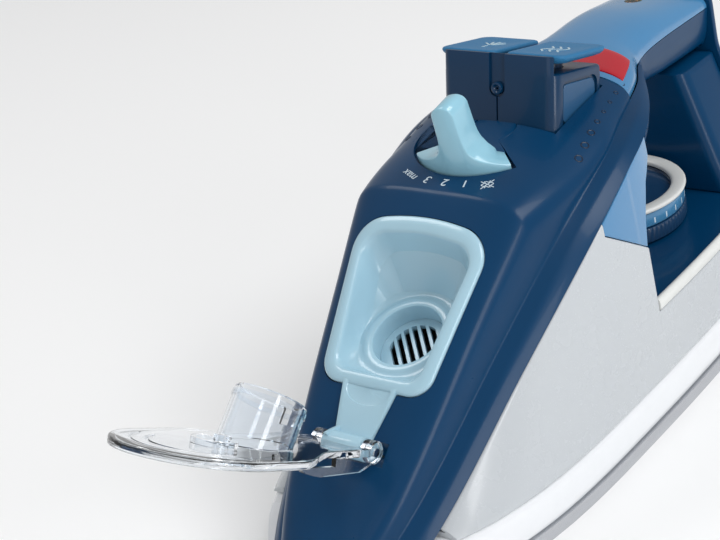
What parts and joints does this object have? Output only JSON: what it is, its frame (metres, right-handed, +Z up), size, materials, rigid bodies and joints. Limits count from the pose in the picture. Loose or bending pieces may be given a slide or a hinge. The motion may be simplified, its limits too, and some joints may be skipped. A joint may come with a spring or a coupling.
{
  "type": "clothes iron",
  "caption": "Steam iron with a hinged clear filler lid, sliding steam lever, push buttons, temperature dial, water tank and perforated soleplate.",
  "frame": {"origin": "centre of the soleplate's lower face, midway along the steam field, on the plane the iron rests on", "axes": "+Z up, -Y towards the nose, +Y towards the heel, X across the iron"},
  "size_m": [0.114, 0.3547, 0.1474],
  "materials": {
    "sole_metal": "polished",
    "element": "cast",
    "ceramic": "ceramic",
    "skirt_white": "gloss",
    "tank_grey": "translucent gloss",
    "navy": "gloss",
    "ice_blue": "satin gloss",
    "mid_blue": "gloss",
    "clear": "clear moulded plastic",
    "seal": "soft",
    "steel": "bright",
    "white_part": "plain",
    "red_label": "gloss",
    "button_blue": "gloss",
    "board": "coated",
    "lamp": "clear",
    "foot": "soft",
    "grip": "soft touch"
  },
  "bodies": {
    "housing": {"soleplate": "sole_metal", "heating_element": "element", "chamber_cover": "element", "thermostat": "ceramic", "sole_skirt": "skirt_white", "water_tank": "tank_grey", "nose_cover": "navy", "filler_bezel": "ice_blue", "filler_grille": "ice_blue", "lid_hinge_pin": "steel", "side_insert_left": "mid_blue", "side_insert_right": "mid_blue", "post_wall": "mid_blue", "button_block": "navy", "spray_nozzle": "steel", "spray_pump_barrel": "white_part", "steam_pump_barrel": "white_part", "spray_spring": "steel", "steam_spring": "steel", "pump_bracket": "white_part", "valve_seat": "seal", "handle_shell": "mid_blue", "handle_grip": "grip", "label_plate": "red_label", "dial_deck": "navy", "deck_rim": "skirt_white", "rear_post": "grip", "rear_cover": "navy", "back_plate": "navy", "heel_feet": "foot", "terminal_block": "white_part", "auto_off_board": "board", "indicator_lens": "lamp", "cover_screws": "steel", "sole_screws": "steel"},
    "lid": {"filler_lid": "clear", "lid_seal": "seal"},
    "lever": {"steam_lever": "ice_blue", "valve_spindle": "steel"},
    "spray_key": {"spray_button": "button_blue", "spray_plunger": "white_part"},
    "steam_key": {"steam_button": "button_blue", "steam_plunger": "white_part"},
    "dial": {"temperature_dial": "navy", "dial_rim": "skirt_white", "dial_shaft": "steel"},
    "gland": {"cord_gland": "grip"}
  },
  "joints": [
    {"name": "lid_hinge", "type": "hinge", "parent": "housing", "child": "lid", "pos_m": [0, -0.0994, 0.04996], "axis": [1, 0, 0], "range_deg": [-107, 0]},
    {"name": "steam_lever_turn", "type": "hinge", "parent": "housing", "child": "lever", "pos_m": [0, 0.012, 0.12178], "axis": [0, -0.1996, 0.9799], "range_deg": [-44, 0]},
    {"name": "spray_press", "type": "slide", "parent": "housing", "child": "spray_key", "axis": [0, -0.2317, -0.9728], "range_m": [0, 0.0032], "stiffness_N_per_m": 600, "springref_m": -0.001},
    {"name": "steam_press", "type": "slide", "parent": "housing", "child": "steam_key", "axis": [0, -0.2317, -0.9728], "range_m": [0, 0.0032], "stiffness_N_per_m": 600, "springref_m": -0.001},
    {"name": "dial_turn", "type": "hinge", "parent": "housing", "child": "dial", "pos_m": [0, 0.084, 0.05], "axis": [0, 0, 1], "range_deg": [0, 270]},
    {"name": "gland_swing", "type": "hinge", "parent": "housing", "child": "gland", "pos_m": [0, 0.1488, 0.1149], "axis": [0, 0, 1], "range_deg": [-30, 30]}
  ]
}
